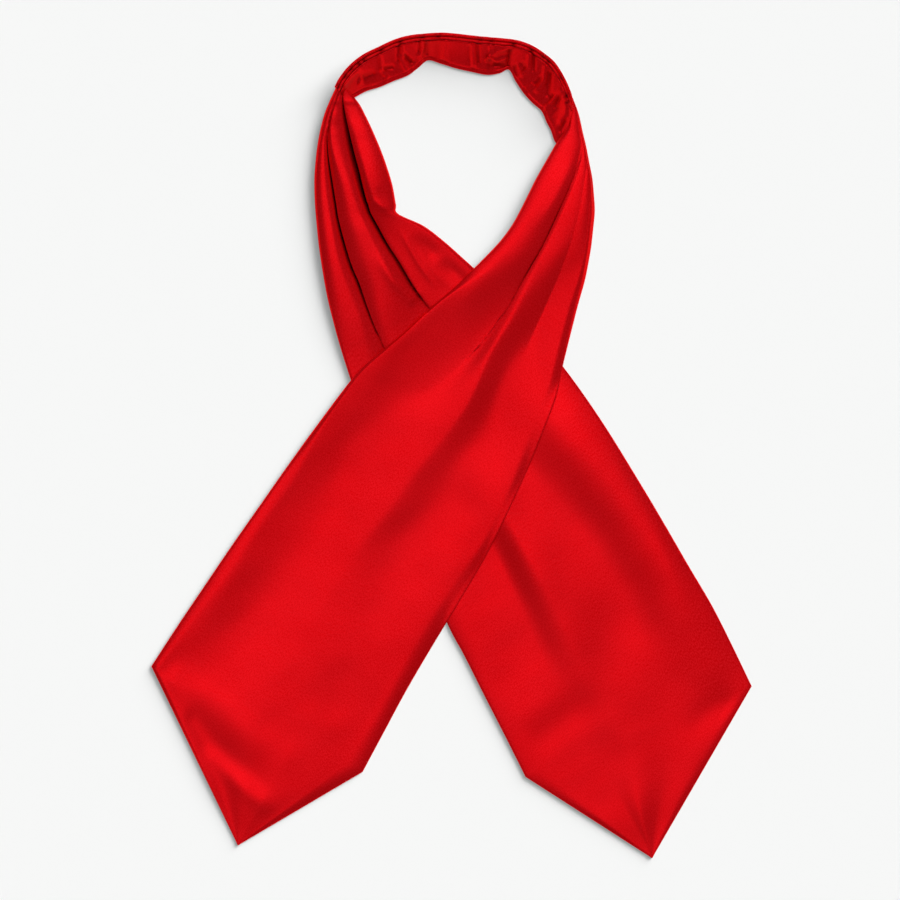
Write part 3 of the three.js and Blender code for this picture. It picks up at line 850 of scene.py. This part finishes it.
def over_blade(rest: Rest) -> Blade:
    """Sets out the right pleats and the blade that crosses over to the lower left.

    Args:
        rest: the shape of the cloth below.

    Returns:
        The blade, ready to build.
    """
    outer_left = Line((
        (571, 99, 13), (556, 143, 12.6), (548, 190, 11.6), (520, 229, 10.9), (474, 268, 9.8), (412, 318, 9.0),
        (350, 381, 7.3), (300, 452, 5.5), (220, 560, 4.4), (151, 666, 3.5), (237, 845, 2.4),
    ))  # fmt: skip
    inner_crest = Line((
        (573, 99, 15.5), (571, 125, 16.6), (568, 145, 15.4), (561, 170, 14.2), (553, 190, 13.4),
        (541, 210, 12.6), (524, 230, 11.8), (508, 250, 11.3), (489, 270, 10.9), (440, 301, 10.5),
        (399, 334, 9.8), (361, 371, 8.6), (342, 393, 7.8), (319, 428, 6.8), (291, 480, 5.7), (262, 520, 5.3),
        (235, 560, 5.1), (207, 600, 4.9), (178, 640, 4.5), (160, 662, 4.1),
    ))  # fmt: skip
    valley = Line((
        (575, 99, 13.4), (584, 135, 12.6, 13), (581, 157, 11.8, 12.8), (573, 180, 10.6, 12.2),
        (560, 209, 9.6, 11.6), (543, 245, 8.7, 10.9), (526, 276, 7.8, 10.2), (509, 307, 7.2, 9.4),
        (495, 326, 7.0, 8.6), (482, 342, 7.0, 7.8), (468, 357, 6.9, 7), (440, 380, 6.6), (415, 394, 6.3),
        (385, 413, 5.9), (357, 440, 4.9), (335, 480, 3.9), (318, 520, 3.5), (292, 560, 3.2), (260, 600, 3.1),
        (230, 640, 3.2), (206, 665, 3.3),
    ))  # fmt: skip
    outer_crest = Line((
        (576, 99, 14), (587, 135, 13), (585, 157, 13.2), (577, 180, 12.8), (565, 209, 12.2), (553, 236, 11.5),
        (540, 262, 11), (524, 294, 10.4), (507, 325, 9.8), (487, 360, 9.1), (470, 400, 8.5), (456, 420, 8.1),
        (441, 440, 7.6), (424, 460, 7.2), (409, 480, 6.8), (396, 500, 6.4), (380, 520, 5.9), (364, 542, 5.3),
        (345, 575, 4.9), (320, 615, 4.8), (290, 670, 4.7),
    ))  # fmt: skip
    trough = Line((
        (577, 99, 13), (588, 157, 12.4), (585, 180, 12.3), (580, 210, 11.8), (572, 240, 10.9),
        (562, 268, 9.2), (549, 300, 7.2), (540, 320, 6.6), (531, 340, 6.2), (522, 360, 5.9), (513, 380, 5.7),
        (503, 400, 5.5), (491, 440, 5.2), (481, 460, 5.0), (468, 480, 4.8), (453, 500, 4.7), (432, 520, 4.6),
        (405, 542, 4.6), (384, 572, 4.8), (360, 620, 4.8), (330, 680, 4.7),
    ))  # fmt: skip
    outer_roll = Line((
        (578, 99, 12), (589, 157, 11.8), (591, 185, 11.4), (590, 210, 11.0), (587, 240, 10.2),
        (582, 270, 9.1), (571, 305, 8.1), (561, 340, 7.6), (552, 375, 7.4), (543, 400, 7.2), (527, 440, 6.9),
        (513, 480, 6.6), (504, 500, 6.4), (484, 540, 6.0), (470, 560, 5.8), (450, 590, 5.5), (434, 615, 5.3),
        (412, 650, 4.9), (390, 690, 4.6), (370, 725, 4.3), (347, 765, 4.0),
    ))  # fmt: skip
    outer_right = Line((
        (580, 99, 10), (590, 157, 8), (595, 200, 8.0), (590, 250, 7.2), (576, 310, 5.8), (563, 365, 5.4),
        (545, 440, 5.2), (522, 500, 4.8), (490, 560, 4.2), (448, 620, 3.6), (400, 700, 2.9), (363, 772, 2.7),
        (237, 845, 2.4),
    ))  # fmt: skip
    row = np.arange(len(OVER_LEFT))
    return Blade(
        name="over_blade",
        left=OVER_LEFT,
        right=OVER_RIGHT,
        strips=[
            [outer_left, inner_crest, valley],
            [valley, outer_crest, trough, outer_roll, outer_right],
        ],
        overlaps=[2.2 * smooth((row - 3) / 4) * (1 - smooth((row - 13) / 5))],
        sharpness=1 - smooth((row - 8) / 10),
        # Across the point a ridge, a trough and a ridge, then a dent beside them; last, the right join.
        folds=(
            Fold(((158, 671), (201, 697), (241, 728), (281, 756), (310, 773)), 0.65, 10.0, 0.1, 0.45),
            Fold(((181, 711), (210, 742), (250, 773), (285, 797)), -0.6, 8.0, 0.1, 0.4),
            Fold(((201, 745), (225, 770), (255, 797), (281, 817)), 0.5, 5.5, 0.2, 0.3),
            Fold(((345, 650), (338, 690), (322, 730)), -0.5, 14.0, 0.4, 0.4),
            Fold(((568, 106), (565, 118), (562.5, 131), (557, 142)), -1.8, 1.5, 0.2, 0.1),
        ),
        tip=(-138.8, -259.0),
        face_nodes=["over_blade_face", "right_inner_pleat", "right_outer_pleat"],
        back_nodes=["over_blade_back"],
        length=0.560,
        face_area=0.072,
        back_area=0.066,
        crown_reach=18.0,
        rest=rest,
    )


def under_blade() -> Blade:
    """Sets out the left pleats and the blade that goes under to the lower right.

    Returns:
        The blade, ready to build.
    """
    outer_left = Line((
        (340, 82, 13), (327, 120, 9.8), (316, 170, 8.4), (315, 210, 8.0), (321, 260, 7.6), (333, 310, 6.8),
        (350, 380, 4.6), (400, 500, 2.0), (448, 624, 3.0), (490, 700, 3.4), (525, 777, 3.2), (652, 857, 2.8),
    ))  # fmt: skip
    outer_crest = Line((
        (340.5, 82, 14.6), (336.5, 89, 14.2), (329, 108, 12.4), (325.5, 120, 11.4), (323, 135, 10.7),
        (322, 160, 10.2), (322.5, 180, 10.0), (324, 200, 9.9), (327, 220, 9.8), (330, 240, 9.6),
        (334, 260, 9.4), (340, 280, 9.0), (347, 300, 8.4), (355, 320, 7.6), (363, 345, 6.3), (377, 385, 4.2),
        (430, 500, 2.9), (463, 615, 3.9), (500, 690, 3.9), (536, 765, 3.7),
    ))  # fmt: skip
    first_valley = Line((
        (341.5, 83, 13), (338.3, 88.5, 10.5, 11), (335.5, 95, 10.5, 12), (331, 107, 9, 9.5),
        (330, 111, 8.5, 10.5), (328.8, 118, 8, 10), (327, 127, 7, 9), (326.5, 136, 5, 9), (328, 157, 4, 8.4),
        (333, 187, 3.2, 7.8), (339, 222, 2.8, 7.4), (346, 249, 2.6, 7), (352, 268, 2.6, 6.6),
        (359, 284, 2.6, 6.2), (366, 305, 2.7, 5.7), (374, 326, 2.8, 5.2), (384, 348, 2.8, 4.6),
        (402, 385, 2.7, 2.9), (445, 470, 2.5), (488, 545, 2.6), (508, 585, 2.7), (523, 620, 2.9),
        (545, 670, 3.2), (570, 715, 3.4),
    ))  # fmt: skip
    middle_crest = Line((
        (342, 84, 14.6), (340.5, 91, 14.8), (336.5, 99.5, 14.4), (332.6, 108, 12.6), (331.8, 113, 13.8),
        (330.5, 119, 13.6), (329, 126, 11.6), (329.8, 134, 12), (332, 148, 11.6), (336, 160, 11.4),
        (341, 172, 11.2), (347.5, 188, 11.0), (352.5, 203, 10.8), (360, 220, 10.6), (368, 240, 10.2),
        (376, 258, 9.6), (382, 275, 8.8), (385, 292, 7.9), (387, 310, 7.0), (392, 330, 6.0), (403, 355, 4.8),
        (428, 395, 3.5), (468, 450, 4.2), (498, 500, 5.4), (522, 545, 5.8), (542, 580, 5.8), (557, 610, 5.5),
        (580, 655, 4.9), (604, 700, 4.2),
    ))  # fmt: skip
    second_valley = Line((
        (343, 85, 13), (343, 95, 9, 14), (344.5, 107, 5, 13.4), (348, 123, 3.5, 12.7), (352, 139, 3, 12),
        (356, 155, 2.8, 11.3), (360.5, 171, 2.6, 10.4), (365, 190, 2.5, 9.4), (370, 207, 2.5, 8.4),
        (377, 222, 2.5, 7.6), (384, 236, 2.5, 7), (393, 251, 2.4, 6.6), (402, 265, 2.4, 6.2),
        (413, 284, 2.4, 5.7), (430, 308, 2.4, 5), (450, 335, 2.5, 3.4), (485, 400, 3.2), (510, 445, 3.4),
        (538, 480, 3.3), (570, 515, 3.2), (596, 552, 3.2), (617, 590, 3.2), (633, 622, 3.2), (652, 662, 3.2),
        (674, 706, 3.0),
    ))  # fmt: skip
    roll_crest = Line((
        (344, 87, 15), (350, 97, 14.6), (354, 111, 14.2), (358.5, 129, 13.8), (362.5, 145, 13.4),
        (366.5, 163, 13.0), (371, 182, 12.4), (380, 203, 11.2), (395, 214, 9.6), (411, 223, 8.8),
        (427, 232, 8.2), (445, 246, 7.4), (462, 263, 6.6), (479, 286, 5.6), (502, 330, 4.8), (534, 390, 5.6),
        (556, 420, 6.6), (587, 452, 7.1), (616, 488, 7.3), (642, 526, 7.1), (667, 566, 6.7), (691, 616, 5.8),
        (708, 655, 4.6), (724, 690, 3.4),
    ))  # fmt: skip
    outer_right = Line((
        (346, 88, 13.2), (356, 98, 12.4), (369, 126, 12.2), (381, 153, 11.4), (389, 175, 10.4),
        (396, 202, 8.4), (399, 216, 8.6), (420, 225, 7.8), (450, 245, 6.8), (474, 268, 5.6), (520, 320, 3.4),
        (563, 368, 2.8), (600, 420, 4.8), (650, 500, 5.0), (700, 585, 4.6), (752, 686, 2.8), (652, 857, 2.8),
    ))  # fmt: skip
    row = np.arange(len(UNDER_LEFT))
    pleated = smooth(row / 2.5) * (1 - smooth((row - 14) / 2))
    return Blade(
        name="under_blade",
        left=UNDER_LEFT,
        right=UNDER_RIGHT,
        strips=[
            [outer_left, outer_crest, first_valley],
            [first_valley, middle_crest, second_valley],
            [second_valley, roll_crest, outer_right],
        ],
        overlaps=[1.8 * pleated, 2.2 * pleated],
        sharpness=1 - smooth((row - 12) / 4),
        # Creases of the pleats above the crossing, then troughs across the blade and its point.
        folds=(
            Fold(((374, 248), (384, 266), (395, 281), (406, 292), (418, 303)), 1.3, 4.2, 0.7, 0.1),
            Fold(((366, 196), (376, 203), (386, 209), (399, 215)), 1.0, 2.2, 0.7, 0.02),
            Fold(((378, 186), (389, 197), (397, 206)), -1.5, 3.8, 0.7, 0.02),
            Fold(((396, 222), (408, 243), (421, 266), (440, 292)), 0.4, 2.2, 0.5, 0.3),
            Fold(((412, 236), (430, 266), (450, 290)), 0.3, 2.6, 0.5, 0.3),
            Fold(((412, 232), (428, 244), (444, 262)), -0.7, 7.0, 0.5, 0.4),
            Fold(((440, 256), (458, 272), (474, 286)), -0.9, 5.5, 0.5, 0.2),
            Fold(((521, 752), (552, 727), (587, 704), (617, 688)), -0.6, 10.0, 0.3, 0.5),
            Fold(((744, 692), (715, 708), (680, 738)), -0.6, 9.0, 0.3, 0.5),
            Fold(((598, 723), (621, 762), (640, 815)), -0.3, 10.0, 0.4, 0.4),
        ),
        tip=(130.3, -267.3),
        face_nodes=[
            "under_blade_face",
            "left_outer_pleat",
            "left_middle_pleat",
            "left_inner_roll",
            "left_turned_side",
        ],
        back_nodes=["under_blade_back"],
        length=0.600,
        face_area=0.083,
        back_area=0.077,
        crown_reach=7.0,
    )


@dataclass(frozen=True)
class BandRows:
    """The neckband's rows: each one's foot, and how far and which way the rim is from it."""

    foot: np.ndarray  # plan, mm
    span: np.ndarray
    outward: np.ndarray

    def at(self, level: np.ndarray) -> np.ndarray:
        """Gives the plan points at these distances from the foot, mm."""
        return self.foot + self.outward * level[..., None]


@dataclass
class Neckband:
    """Gathered cloth inside the loop and plain cloth outside, sewn together along the rim."""

    rise: float = 18.2  # height of the rim, mm
    foot: float = 1.6  # height of the inner cloth's lower edge
    cloth: float = 0.4  # thickness
    spacing: float = 0.55  # length of a step along the band
    columns: int = 60  # from the foot to the folded edge
    turn_steps: int = 8  # round the lower edge, and down into the slit
    rim_steps: int = 14
    side_steps: int = 24  # down the outside
    side_foot: float = 3.2  # where the outside ends, from the inner cloth's foot
    side_low: float = 0.6  # height of its lower edge
    strip: float = 1.5  # width of the outer cloth's rolled rim, seen from above
    slit: float = 1.1  # dark gap between the rim and the folded edge inside it
    slit_depth: float = 2.2
    painted_slit_light: float = 0.4  # share of the dye's brightness kept in the slit, as painted shade
    painted_outside_foot_light: float = 0.5  # share of the dye's brightness kept on the lowest steps of the outside, as painted shade
    folded_edge: float = 1.5  # width of the inner cloth's folded edge
    edge_ridge: float = 0.45  # rise along the folded edge
    groove_depth: float = 0.9  # of the line below the folded edge
    groove_reach: float = 0.4
    painted_groove_shade: float = 0.33  # share of the dye's brightness that the line loses, as painted shade
    hem: float = 2.3  # place of the hem's line above the foot
    hem_depth: float = 0.45
    foot_turn: float = 0.8  # reach of the turn at the lower edge
    foot_radius: float = 0.7
    stitch_reach: float = 1.5
    stitch_depth: float = 1.3  # how far a stitch pulls the inner cloth down
    rim_stitch_depth: float = 0.9
    # Painted shade at the stitches, on the inner cloth and on the rim
    painted_stitch_shade: float = 0.3
    painted_rim_stitch_shade: float = 0.2
    painted_crease_depth: float = 1.6  # a gather's trough this deep gets the full painted shade
    painted_crease_shade: float = 0.09
    painted_inner_light: float = 0.93  # share of the dye's brightness that the inner cloth keeps, as painted shade
    gathers: tuple[Fold, ...] = (  # from the left end to the right
        Fold(((345, 86), (350, 80), (356, 74)), 1.7, 1.6),
        Fold(((358.6, 71), (361.5, 76), (360, 84)), 1.4, 1.3),
        Fold(((363, 78), (372, 75)), -1.7, 2.2),
        Fold(((379.5, 55.5), (382, 69)), 1.5, 1.5),
        Fold(((383, 71), (387, 77), (386, 84)), 1.3, 1.5),
        Fold(((385, 69.5), (392, 68)), -1.9, 1.7),
        Fold(((398.4, 46.5), (397.8, 61)), -1.4, 1.2),
        Fold(((401.5, 45.5), (403.5, 57)), 1.4, 1.2),
        Fold(((400, 59), (408, 73)), 1.5, 1.7),
        Fold(((405.5, 57), (411, 62)), -2.3, 1.6),
        Fold(((419, 42), (418.6, 52)), -1.1, 1.0),
        Fold(((421.5, 40.5), (423, 48), (420, 56), (422, 61)), 1.6, 1.4),
        Fold(((426.3, 45), (426.8, 53)), -1.4, 1.5),
        Fold(((446.5, 40), (444.5, 58)), 1.4, 1.9),
        Fold(((437, 48), (437, 58)), -0.8, 3.0),
        Fold(((472, 43), (474, 65)), 1.6, 1.5),
        Fold(((469, 48), (469.5, 60)), -0.8, 1.0),
        Fold(((478, 46), (478.5, 62)), -1.5, 1.5),
        Fold(((490.6, 44), (490.6, 52.5), (487.5, 60)), 1.3, 1.3),
        Fold(((511, 48.5), (497, 52.5), (489, 58.5)), 2.0, 1.7),
        Fold(((489, 58.5), (497, 62), (506, 58.5)), 1.3, 1.2),
        Fold(((494, 65.5), (504, 65.5)), -1.8, 1.6),
        Fold(((509.7, 52.5), (508, 65)), -1.6, 1.2),
        Fold(((515, 67), (517, 75)), -1.4, 1.5),
        Fold(((522, 64.5), (524, 68)), -1.4, 1.5),
        Fold(((529.6, 56.5), (528, 68), (522, 75)), 1.5, 1.5),
        Fold(((533.2, 57), (533.6, 71)), -1.6, 1.4),
        Fold(((531, 85), (526, 90)), 1.2, 1.4),
        Fold(((545.5, 68), (543.7, 83), (537, 91)), 1.5, 1.7),
        Fold(((535, 84), (540, 79)), -1.4, 1.5),
        Fold(((549, 75), (548, 95)), -1.9, 2.0),
        Fold(((560.5, 93), (549.5, 104), (544.5, 111)), 1.7, 1.7),
        Fold(((548, 103), (552, 96)), -1.3, 1.3),
        Fold(((559, 99), (556, 107)), -1.8, 1.8),
        Fold(((552, 116), (558, 110)), -0.9, 1.8),
        Fold(((566, 103), (565, 115), (560.5, 122)), 1.3, 1.9),
        Fold(((565, 122), (561, 131)), -1.6, 1.6),
    )
    stitches: tuple[tuple[float, float], ...] = (
        (337.8, 89), (345, 78.5), (351, 71), (359, 65.5), (364, 62), (381, 52), (400, 44), (422, 38.8),
        (438, 38), (480, 41), (491, 42.6), (513, 46), (531, 52.4), (543, 58.5), (548, 63), (561, 79.5),
        (566.5, 97.5), (567, 104),
    )  # fmt: skip

    def pinch(self, plan: np.ndarray) -> np.ndarray:
        """Gives how much the stitches draw the cloth in.

        Args:
            plan: plan points in mm.

        Returns:
            A share for each point.
        """
        total = np.zeros(plan.shape[:-1])
        for stitch in in_plan(self.stitches):
            total = np.maximum(total, bell(np.linalg.norm(plan - stitch, axis=-1), self.stitch_reach))
        return total

    def build(self, material: bpy.types.Material) -> None:
        """Makes the two layers of the band.

        Args:
            material: the cloth's finish.
        """
        ends = np.hstack([BAND_RIM, BAND_FOOT])
        dense = smooth_rows(ends, (BAND_RIM + BAND_FOOT) / 2, self.spacing)[:, None]
        foot = dense[..., 2:]
        span = np.linalg.norm(dense[..., :2] - foot, axis=-1)
        rows = BandRows(foot, span, (dense[..., :2] - foot) / span[..., None])
        self.build_inner(material, rows)
        self.build_outer(material, rows)

    def build_inner(self, material: bpy.types.Material, rows: BandRows) -> None:
        """Makes the gathered cloth, hemmed at its foot, its folded edge dipping under the rim.

        Args:
            material: the cloth's finish.
            rows: the band's rows.
        """
        # The cloth climbs from its foot to the folded edge, a little hollow, with close columns there.
        inner_rim = rows.span - self.strip - self.slit
        step = np.linspace(0, 1, self.columns)[None]
        level = (inner_rim - self.foot_turn) * (1 - (1 - step) ** 1.25) + self.foot_turn
        plan = rows.at(level)
        from_rim = inner_rim - level
        climb = np.clip(level / np.maximum(inner_rim - self.folded_edge, 1.0), 0, 1)
        height = self.foot + (self.rise - 2.0) * (0.3 * climb + 0.7 * climb**1.3)
        # The gathers are free between the foot and the folded edge, where they are held.
        free = smooth(level / 3.0) * smooth((from_rim - self.folded_edge + 0.4) / 1.4)
        rise = rise_of(self.gathers, plan)
        pinch = self.pinch(plan)
        groove = from_rim - self.folded_edge
        height += rise * free + self.edge_ridge * bell(from_rim - 0.6, 0.45)
        height -= self.groove_depth * bell(groove, self.groove_reach)
        height -= self.hem_depth * bell(level - self.hem, self.groove_reach) + self.stitch_depth * pinch
        roll = np.linspace(math.radians(170), 0, self.turn_steps)[None, :-1]
        under = rows.at(self.foot_turn * (1 - np.sin(roll)))
        under_height = height[:, :1] - self.foot_radius * (1 - np.cos(roll))
        # Past the folded edge the cloth dips down and under the rim.
        dip = np.linspace(0, 1, self.turn_steps)[None, 1:]
        edge = rows.at(level[:, -1:] + (self.slit + 0.5) * dip)
        edge_height = np.minimum(height[:, -1:], self.rise - 0.6) - self.slit_depth * smooth(dip * 1.6)
        parts = [raised(under, under_height), raised(plan, height), raised(edge, edge_height)]
        grid = np.concatenate(parts, axis=1)
        turned = self.turn_steps - 1
        # Painted shade: the folds' openness, full on the turned foot, darker in the slit, along the groove,
        # in the gathers' troughs and at the stitches, and a little over the whole inner cloth.
        light = openness(grid)
        light[:, :turned] = 1.0
        light[:, -turned:] = self.painted_slit_light
        light[:, turned:-turned] *= (
            (self.painted_inner_light - self.painted_groove_shade * bell(groove, 0.5))
            * (1 - self.painted_crease_shade * np.clip(-rise / self.painted_crease_depth, 0, 1) * free)
            * (1 - self.painted_stitch_shade * pinch)
        )
        piece = cloth_mesh("neckband_inner_cloth", grid[:, ::-1], self.cloth, light[:, ::-1])
        dress(piece, material, ["neckband_inner"])

    def build_outer(self, material: bpy.types.Material, rows: BandRows) -> None:
        """Makes the plain cloth: a rolled rim beside the slit, then down the outside.

        Args:
            material: the cloth's finish.
            rows: the band's rows.
        """
        radius = self.strip / 2
        pinch = self.pinch(rows.at(rows.span - self.strip))
        over = np.linspace(math.radians(150), math.radians(-90), self.rim_steps)[None]
        level = rows.span - radius - radius * np.sin(over)
        height = self.rise - radius - self.rim_stitch_depth * pinch + radius * np.cos(over)
        down = np.linspace(0, 1, self.side_steps)[None, 1:]
        # The side falls to the table almost straight, and comes in by the slope of the inner cloth.
        outside = level[:, -1:] + (self.side_foot - level[:, -1:]) * down
        outside_height = height[:, -1:] + (self.side_low - height[:, -1:]) * (1 - (1 - down) ** 1.15)
        levels = np.concatenate([level, outside], axis=1)
        grid = raised(rows.at(levels), np.concatenate([height, outside_height], axis=1))
        # Painted shade at the rim's stitches, and on the lowest steps of the outside beside the table, as the
        # light's columns are not turned round with the grid's.
        light = 1 - self.painted_rim_stitch_shade * np.repeat(pinch, grid.shape[1], axis=1)
        light[:, : self.rim_steps // 3] = self.painted_outside_foot_light
        piece = cloth_mesh("neckband_outer_cloth", grid[:, ::-1], self.cloth, light)
        dress(piece, material, ["neckband_outer"])


class Use(Enum):
    """What a lamp's light shows in."""

    SHADE = "shade and shadows"
    GLOSS = "gloss of the satin"


@dataclass
class Studio:
    """A white table under soft daylight lamps, seen from straight above."""

    table_size: float = 12.0  # m
    camera_height: float = 4.0
    sensor: float = 36.0  # mm
    aim: tuple[float, float] = (-1.0, -2.3)  # mm

    def floor(self) -> None:
        """Lays the pale surface that the cravat lies on."""
        mesh = bpy.data.meshes.new("table_top")
        half = self.table_size / 2
        corners = [(-half, -half, 0), (half, -half, 0), (half, half, 0), (-half, half, 0)]
        mesh.from_pydata(corners, [], [(0, 1, 2, 3)])
        table = bpy.data.objects.new("table_top", mesh)
        bpy.context.collection.objects.link(table)
        material = bpy.data.materials.new("white_laminate")  # smooth, pale and nearly without gloss
        material.use_nodes = True
        surface = material.node_tree.nodes["Principled BSDF"]
        surface.inputs["Base Color"].default_value = hex_colour("f4f4f3")
        surface.inputs["Roughness"].default_value = 0.9
        surface.inputs["Specular IOR Level"].default_value = 0.1
        table.data.materials.append(material)

    def lamp(
        self,
        name: str,
        toward: tuple[float, float, float],
        spread: float,
        strength: float,
        use: Use,
    ) -> None:
        """Hangs a broad, soft and distant light, turned to the cravat.

        Args:
            name: the lamp's name.
            toward: a place on the line from the cravat to the light, m.
            spread: width of the light as the cravat sees it, degrees.
            strength: light that it gives a surface that faces it, W/m2.
            use: what the light shows in.
        """
        light = bpy.data.lights.new(name, "SUN")
        light.angle = math.radians(spread)
        light.energy = strength
        lamp = bpy.data.objects.new(name, light)
        bpy.context.collection.objects.link(lamp)
        lamp.location = toward
        lamp.rotation_euler = Vector(toward).to_track_quat("Z", "Y").to_euler()
        lamp.visible_camera = False
        lamp.visible_glossy = use is Use.GLOSS
        lamp.visible_diffuse = use is Use.SHADE

    def world(self) -> None:
        """Sets the even light of a white room."""
        world = bpy.data.worlds.new("white_room")
        world.use_nodes = True
        background = world.node_tree.nodes["Background"]
        background.inputs["Color"].default_value = hex_colour("f7f9fa")
        background.inputs["Strength"].default_value = 0.31
        bpy.context.scene.world = world

    def camera(self) -> None:
        """Hangs the camera straight above, a long way up."""
        data = bpy.data.cameras.new("overhead")
        data.sensor_width = self.sensor
        data.lens = self.sensor * self.camera_height / (PHOTO_WIDTH * MM)
        camera = bpy.data.objects.new("overhead", data)
        camera.location = (self.aim[0] * MM, self.aim[1] * MM, self.camera_height)
        bpy.context.collection.objects.link(camera)
        bpy.context.scene.camera = camera

    def build(self) -> None:
        """Makes the surface, the lamps, the room light and the camera."""
        self.floor()
        self.lamp("window", (0.72, 0.62, 1.25), spread=40.0, strength=1.20, use=Use.SHADE)
        self.lamp("window_foot", (0.74, 0.74, 0.66), spread=44.0, strength=2.58, use=Use.SHADE)
        self.lamp("reflector", (-0.04, 0.48, 1.40), spread=34.0, strength=0.32, use=Use.GLOSS)
        self.lamp("overhead_reflector", (-0.15, -0.05, 1.40), spread=24.0, strength=0.07, use=Use.GLOSS)
        self.world()
        self.camera()
        bpy.context.scene.view_settings.view_transform = "Standard"


def main() -> None:
    """Builds the cravat and the studio."""
    logging.basicConfig(level=logging.INFO, format="%(name)s: %(message)s")
    satin = SilkSatin().material()
    rest = Rest()
    rest.settle(under_blade().build(satin))
    over_blade(rest).build(satin)
    Neckband().build(satin)
    Studio().build()


if __name__ == "__main__":
    main()
